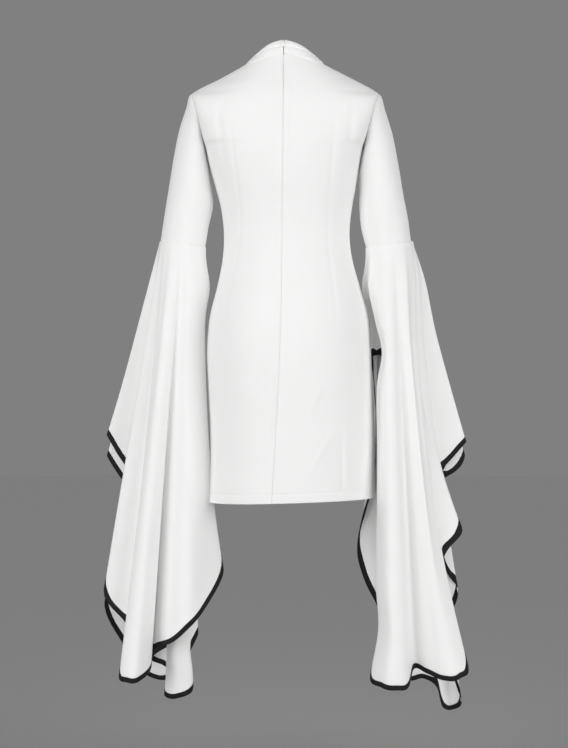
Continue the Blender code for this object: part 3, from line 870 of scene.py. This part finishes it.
def make_floor(studio):
    """A plain round floor, clear of the lowest hem because the dress hangs as worn."""
    bm = bmesh.new()
    bmesh.ops.create_circle(bm, cap_ends=True, segments=96, radius=FLOOR_RADIUS)
    bmesh.ops.translate(bm, verts=bm.verts, vec=(0, 0, CAD_BOUNDS[0][2] - studio.floor_gap))
    mesh = bpy.data.meshes.new("studio_floor")
    bm.to_mesh(mesh)
    bm.free()
    mesh.materials.append(floor_finish())
    floor = bpy.data.objects.new("studio_floor", mesh)
    bpy.context.scene.collection.objects.link(floor)
    floor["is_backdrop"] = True


def lit_pieces():
    """A collection of the dress's pieces, for the lamps: the floor has the soft light alone."""
    dress = bpy.data.collections.new("dress")
    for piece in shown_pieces():
        dress.objects.link(piece)
    return dress


def make_light(name, power, size, place, dress):
    """A large square light that looks at the middle of the dress."""
    light = bpy.data.lights.new(name, "AREA")
    light.energy = power
    light.size = size
    lamp = bpy.data.objects.new(name, light)
    lamp.location = place
    aim = mathutils.Vector((0, 0, -EYE_DROP)) - lamp.location
    lamp.rotation_euler = aim.to_track_quat("-Z", "Y").to_euler()
    lamp.light_linking.receiver_collection = dress
    bpy.context.scene.collection.objects.link(lamp)


def make_camera():
    """The camera straight behind the dress, at the middle of its height."""
    view = bpy.data.cameras.new("camera")
    view.lens = CAMERA_LENS
    camera = bpy.data.objects.new("camera", view)
    camera.location = (0, VIEW_DISTANCE, -EYE_DROP)
    camera.rotation_euler = (math.pi / 2, 0, math.pi)
    bpy.context.scene.collection.objects.link(camera)
    bpy.context.scene.camera = camera


# Finishes

def add_node(tree, kind, inputs=(), **settings):
    """Adds a shader node with its settings. Inputs, by name or place, are values or sockets."""
    node = tree.nodes.new("ShaderNode" + kind)
    for name, value in settings.items():
        setattr(node, name, value)
    for name, value in dict(inputs).items():
        if isinstance(value, bpy.types.NodeSocket):
            tree.links.new(value, node.inputs[name])
        else:
            node.inputs[name].default_value = value
    return node


def arithmetic(tree, operation, *values):
    """The output of a Math node on values or sockets."""
    return add_node(tree, "Math", enumerate(values), operation=operation).outputs[0]


def cloth_place(tree):
    """Sockets for the place on the piece's own cloth in metres, and for its two parts."""
    place = add_node(tree, "UVMap", uv_map=CLOTH_MAP).outputs["UV"]
    axes = add_node(tree, "SeparateXYZ", {"Vector": place}).outputs
    return place, axes["X"], axes["Y"]


def object_place(tree):
    """A socket for the place in the piece's own coordinates."""
    return add_node(tree, "TexCoord").outputs["Object"]


def grains(tree, vector, size, detail=2.0):
    """Noise from 0 to 1 whose grains are about this size in metres."""
    inputs = {"Vector": vector, "Scale": 1 / size, "Detail": detail}
    return add_node(tree, "TexNoise", inputs).outputs[0]


def ribs(tree, along, pitch):
    """Rounded ridges from 0 to 1, one in each pitch of the distance along."""
    wave = arithmetic(tree, "SINE", arithmetic(tree, "MULTIPLY", along, math.tau / pitch))
    return arithmetic(tree, "MULTIPLY_ADD", wave, 0.5, 0.5)


def tinted(tree, colour, shade, share):
    """The colour, made this share darker or lighter as the shade goes from 0 to 1."""
    darker, lighter = ([min(value * (1 + change), 1) for value in colour[:3]] + [1]
                       for change in (-share, share))
    return add_node(tree, "Mix", {0: shade, 6: darker, 7: lighter}, data_type="RGBA").outputs[2]


def new_finish(name, roughness, sheen, specular):
    """A blank finish: what is the same all over is set on its shader."""
    finish = bpy.data.materials.new(name)
    finish.use_nodes = True
    shader = finish.node_tree.nodes["Principled BSDF"]
    shader.inputs["Roughness"].default_value = roughness
    shader.inputs["Sheen Weight"].default_value = sheen
    shader.inputs["Sheen Roughness"].default_value = 0.5
    shader.inputs["Specular IOR Level"].default_value = specular
    return finish, finish.node_tree, shader


def relief(tree, shader, height, depth, strength):
    """Raises the surface by up to this depth where the height socket is 1."""
    bump = add_node(tree, "Bump", {"Height": height, "Distance": depth, "Strength": strength})
    tree.links.new(bump.outputs["Normal"], shader.inputs["Normal"])


def white_crepe():
    """Matte white crepe: a fine twisted weave under a pebbled face, with a faint tone that is
    uneven at random, and painted shade that makes the colour a little darker in the hollows of the
    weave and pebbles.
    """
    if "white_crepe" in bpy.data.materials:
        return bpy.data.materials["white_crepe"]
    finish, tree, shader = new_finish("white_crepe", 0.82, 0.25, 0.25)
    place, across, along = cloth_place(tree)
    pebbles = grains(tree, place, PEBBLE, 3.0)
    wander = arithmetic(tree, "MULTIPLY", grains(tree, place, WANDER_GRAIN), WEAVE_WANDER)
    warp = ribs(tree, arithmetic(tree, "ADD", across, wander), WEAVE_PITCH)
    weft = ribs(tree, arithmetic(tree, "ADD", along, wander), WEAVE_PITCH * 1.15)
    weave = arithmetic(tree, "MAXIMUM", warp, weft)
    height = arithmetic(tree, "MULTIPLY_ADD", weave, 0.45,
                        arithmetic(tree, "MULTIPLY", pebbles, 0.55))
    # Colour tone: partly random unevenness, partly painted shade that follows the weave and pebble
    # height and is darker where the relief is low
    tone_and_weave_shade = arithmetic(tree, "MULTIPLY_ADD", grains(tree, object_place(tree), TONE_GRAIN), 0.6,
                      arithmetic(tree, "MULTIPLY", height, 0.4))
    colour = tinted(tree, bpy.context.scene.dress_colours.cloth, tone_and_weave_shade, 0.03)
    tree.links.new(colour, shader.inputs["Base Color"])
    rough = arithmetic(tree, "MULTIPLY_ADD", pebbles, 0.1, 0.77)
    tree.links.new(rough, shader.inputs["Roughness"])
    relief(tree, shader, height, 0.1 * MM, 0.35)
    return finish


def sewing_thread():
    """White sewing thread, slightly glossier than the cloth, with a soft uneven twist."""
    finish, tree, shader = new_finish("sewing_thread", 0.6, 0.2, 0.35)
    twist = grains(tree, object_place(tree), 0.5 * MM)
    tree.links.new(tinted(tree, bpy.context.scene.dress_colours.cloth, twist, 0.06),
                   shader.inputs["Base Color"])
    relief(tree, shader, twist, 0.05 * MM, 0.5)
    return finish


def black_binding():
    """Black folded binding: fine cross ribs, with a sunk line of stitching by its edge, and a
    colour that is uneven at random, with painted shade that makes it lighter on the rib tops and
    darker between them.
    """
    if "black_binding" in bpy.data.materials:
        return bpy.data.materials["black_binding"]
    finish, tree, shader = new_finish("black_binding", 0.65, 0.04, 0.2)
    place, along, up = cloth_place(tree)
    rib = ribs(tree, along, RIB_PITCH)
    line = arithmetic(tree, "COMPARE", up, BINDING_WIDTH - BINDING_STITCH_IN, BINDING_STITCH_HALF)
    thread = arithmetic(tree, "MULTIPLY", line, ribs(tree, along, STITCH_PITCH))
    height = arithmetic(tree, "SUBTRACT", arithmetic(tree, "MULTIPLY", rib, 0.4), line)
    height = arithmetic(tree, "ADD", height, thread)
    # Painted shade from the ribs, lighter on their tops and darker between them, mixed with random
    # unevenness of the colour
    shade = arithmetic(tree, "MULTIPLY_ADD", rib, 0.5,
                       arithmetic(tree, "MULTIPLY", grains(tree, place, 3 * MM), 0.5))
    colour = tinted(tree, bpy.context.scene.dress_colours.binding, shade, 0.35)
    tree.links.new(colour, shader.inputs["Base Color"])
    relief(tree, shader, height, 0.12 * MM, 0.5)
    return finish


def zip_tape_finish():
    """Satin zip tape: fine herringbone ribs that lean one way and then the other, with painted
    shade that makes the colour lighter on the rib tops and darker between them, and a random
    unevenness of tone.
    """
    finish, tree, shader = new_finish("zip_tape_satin", 0.5, 0.2, 0.4)
    place = object_place(tree)
    axes = add_node(tree, "SeparateXYZ", {"Vector": place}).outputs
    slope = arithmetic(tree, "PINGPONG", axes["X"], 2.5 * MM)
    rib = ribs(tree, arithmetic(tree, "ADD", axes["Z"], slope), 0.9 * MM)
    # Painted shade from the ribs, lighter on their tops and darker between them, mixed with random
    # unevenness of the colour
    shade = arithmetic(tree, "MULTIPLY_ADD", rib, 0.5,
                       arithmetic(tree, "MULTIPLY", grains(tree, place, 4 * MM), 0.5))
    colour = tinted(tree, bpy.context.scene.dress_colours.zip_tape, shade, 0.05)
    tree.links.new(colour, shader.inputs["Base Color"])
    relief(tree, shader, rib, 0.1 * MM, 0.5)
    return finish


def painted_pull():
    """White paint on metal, with a faint unevenness and rubbed patches."""
    finish, tree, shader = new_finish("painted_pull", 0.35, 0.0, 0.5)
    place = object_place(tree)
    rubbed = grains(tree, place, 1.5 * MM, 4.0)
    colour = tinted(tree, bpy.context.scene.dress_colours.zip_pull, rubbed, 0.06)
    tree.links.new(colour, shader.inputs["Base Color"])
    rough = arithmetic(tree, "MULTIPLY_ADD", rubbed, 0.25, 0.25)
    tree.links.new(rough, shader.inputs["Roughness"])
    relief(tree, shader, rubbed, 0.03 * MM, 0.4)
    return finish


def floor_finish():
    """Pale studio floor with a very fine grain."""
    finish, tree, shader = new_finish("studio_floor", 0.9, 0.0, 0.1)
    grain = grains(tree, object_place(tree), 12 * MM)
    colour = tinted(tree, bpy.context.scene.dress_studio.floor, grain, 0.01)
    tree.links.new(colour, shader.inputs["Base Color"])
    return finish


# Sizes, colours and studio settings that a user would change

def size_of(name, description, default):
    """A length in metres."""
    return bpy.props.FloatProperty(name=name, description=description, default=default, min=0.0,
                                   precision=4, unit="LENGTH")


def colour_of(name, description, default):
    """A colour as red, green and blue from 0 to 1."""
    return bpy.props.FloatVectorProperty(name=name, description=description, default=default,
                                         size=3, min=0.0, max=1.0, subtype="COLOR")


def power_of(name, description, default):
    """A light's strength in watts."""
    return bpy.props.FloatProperty(name=name, description=description, default=default, min=0.0,
                                   unit="POWER")


class DressSizes(bpy.types.PropertyGroup):
    cloth: size_of("Cloth", "How thick the cloth is", CLOTH)
    hem_depth: size_of("Hem depth", "How far above the skirt's edge its stitching runs", 18 * MM)
    stitch_pitch: size_of("Stitch pitch", "The distance from one hem stitch to the next",
                          STITCH_PITCH)
    stitch_length: size_of("Stitch length", "How long a hem stitch is", 2.2 * MM)
    thread: size_of("Thread", "Half the thickness of the sewing thread", 0.22 * MM)
    binding: size_of("Binding width", "How far the binding reaches up from the hem", BINDING_WIDTH)
    collar: size_of("Collar", "How thick the folded collar is", COLLAR_THICKNESS)


class DressColours(bpy.types.PropertyGroup):
    cloth: colour_of("Cloth", "The colour of the crepe", (0.86, 0.86, 0.855))
    binding: colour_of("Binding", "The colour of the bound hems", (0.006, 0.006, 0.0065))
    zip_tape: colour_of("Zip tape", "The colour of the zip tape", (0.8, 0.8, 0.79))
    zip_pull: colour_of("Zip pull", "The colour of the paint on the zip pull", (0.82, 0.82, 0.81))


class DressStudio(bpy.types.PropertyGroup):
    key: power_of("Key light", "The strength of the large light behind the wearer's left", 99)
    fill: power_of("Fill light", "The strength of the light behind the wearer's right", 108)
    eye: power_of("Eye light", "The strength of the light by the camera", 52)
    front: power_of("Front light", "The strength of the light in front of the wearer", 90)
    top: power_of("Top light", "The strength of the light overhead", 6)
    backdrop: colour_of("Background", "The colour all round the studio", (0.216, 0.216, 0.216))
    floor: colour_of("Floor", "The colour of the floor", (0.96, 0.96, 0.96))
    floor_gap: size_of("Floor gap", "How far the floor lies below the lowest hem", 100 * MM)


# One operator for each piece or group of like pieces

class DRESS_OT_back(bpy.types.Operator):
    """Make the two back panels, joined along the centre back"""
    bl_idname = "dress.back"
    bl_label = "Back panels"

    def execute(self, context):
        for name, side in SIDES:
            panel("back_cloth_" + name, "back_panel_" + name, back_shape(side), side, BACK_GRID,
                  BACK_FOLDS, (CENTRE_ROLL, SIDE_ROLL))
        return {"FINISHED"}


class DRESS_OT_front(bpy.types.Operator):
    """Make the front panel"""
    bl_idname = "dress.front"
    bl_label = "Front panel"

    def execute(self, context):
        panel("front_cloth", "front_panel", front_shape, 1, FRONT_GRID, FRONT_FOLDS,
              (SIDE_ROLL, SIDE_ROLL))
        return {"FINISHED"}


class DRESS_OT_hem(bpy.types.Operator):
    """Make the stitches round the hem of the skirt"""
    bl_idname = "dress.hem"
    bl_label = "Hem stitches"

    def execute(self, context):
        sizes = context.scene.dress_sizes
        bm = bmesh.new()
        for shape, side in ((back_shape(1), 1), (back_shape(-1), -1), (front_shape, 1)):
            u = np.linspace(*HEM_STITCH_ENDS, HEM_STITCH_STEPS)
            v = np.full_like(u, 1 - sizes.hem_depth / HEM_DROP)
            normals = side * normal_of(shape, u, v)
            stitch_row(bm, shape(u, v) - normals * (HEM_GROOVE - STITCH_SINK), normals,
                       sizes.stitch_pitch, sizes.stitch_length, sizes.thread)
        piece_from(bm, "hem_stitches", [], sewing_thread())
        return {"FINISHED"}


class DRESS_OT_sleeves(bpy.types.Operator):
    """Make the two sleeves, each joined into a tube from the armhole to the elbow"""
    bl_idname = "dress.sleeves"
    bl_label = "Sleeves"

    def execute(self, context):
        for name, side in SIDES:
            make_sleeve(name, side)
        return {"FINISHED"}


class DRESS_OT_flounces(bpy.types.Operator):
    """Make the two long flounces and the black bindings that edge them"""
    bl_idname = "dress.flounces"
    bl_label = "Flounces and bindings"

    def execute(self, context):
        for name, side in SIDES:
            flounce = make_flounce(name, side)
            binding = make_binding(name, side)
        return {"FINISHED"}


class DRESS_OT_collar(bpy.types.Operator):
    """Make the two halves of the soft collar, open at the centre back"""
    bl_idname = "dress.collar"
    bl_label = "Collar"

    def execute(self, context):
        for name, side in SIDES:
            make_collar(name, side)
        return {"FINISHED"}


class DRESS_OT_zip(bpy.types.Operator):
    """Finish the zip tape and make the zip pull"""
    bl_idname = "dress.zip"
    bl_label = "Zip"

    def execute(self, context):
        tape = bpy.data.objects["zip_tape"]
        tape.data.materials.clear()
        tape.data.materials.append(zip_tape_finish())
        make_pull()
        return {"FINISHED"}


class DRESS_OT_stage(bpy.types.Operator):
    """Make the floor, the lights and the camera"""
    bl_idname = "dress.stage"
    bl_label = "Studio"

    def execute(self, context):
        studio = context.scene.dress_studio
        make_floor(studio)
        dress = lit_pieces()
        for name, size, place in LIGHTS:
            make_light(name, getattr(studio, name), size, place, dress)
        world = bpy.data.worlds.new("studio")
        context.scene.world = world
        world.use_nodes = True
        world.node_tree.nodes["Background"].inputs["Color"].default_value = (*studio.backdrop, 1)
        context.scene.view_settings.view_transform = "Standard"
        make_camera()
        return {"FINISHED"}


class DRESS_PT_dress(bpy.types.Panel):
    bl_idname = "DRESS_PT_dress"
    bl_label = "Mini dress"
    bl_space_type = "VIEW_3D"
    bl_region_type = "UI"
    bl_category = "Dress"

    def draw(self, context):
        for settings in (context.scene.dress_sizes, context.scene.dress_colours,
                         context.scene.dress_studio):
            box = self.layout.box()
            for name in settings.__annotations__:
                box.prop(settings, name)
        for operator in OPERATORS:
            self.layout.operator(operator.bl_idname)


SETTINGS = (("dress_sizes", DressSizes), ("dress_colours", DressColours),
            ("dress_studio", DressStudio))
OPERATORS = (DRESS_OT_back, DRESS_OT_front, DRESS_OT_hem, DRESS_OT_sleeves, DRESS_OT_flounces,
             DRESS_OT_collar, DRESS_OT_zip, DRESS_OT_stage)


def register():
    """Adds the settings to the scene, then the operators and their sidebar panel."""
    for name, group in SETTINGS:
        bpy.utils.register_class(group)
        setattr(bpy.types.Scene, name, bpy.props.PointerProperty(type=group))
    for made in (*OPERATORS, DRESS_PT_dress):
        bpy.utils.register_class(made)


def unregister():
    """Removes the sidebar panel, the operators and the settings."""
    for made in reversed((*OPERATORS, DRESS_PT_dress)):
        bpy.utils.unregister_class(made)
    for name, group in reversed(SETTINGS):
        delattr(bpy.types.Scene, name)
        bpy.utils.unregister_class(group)


def main():
    """Makes every piece and the studio."""
    register()
    bpy.ops.dress.back()
    bpy.ops.dress.front()
    bpy.ops.dress.hem()
    bpy.ops.dress.sleeves()
    bpy.ops.dress.flounces()
    bpy.ops.dress.collar()
    bpy.ops.dress.zip()
    bpy.ops.dress.stage()


if __name__ == "__main__":
    main()
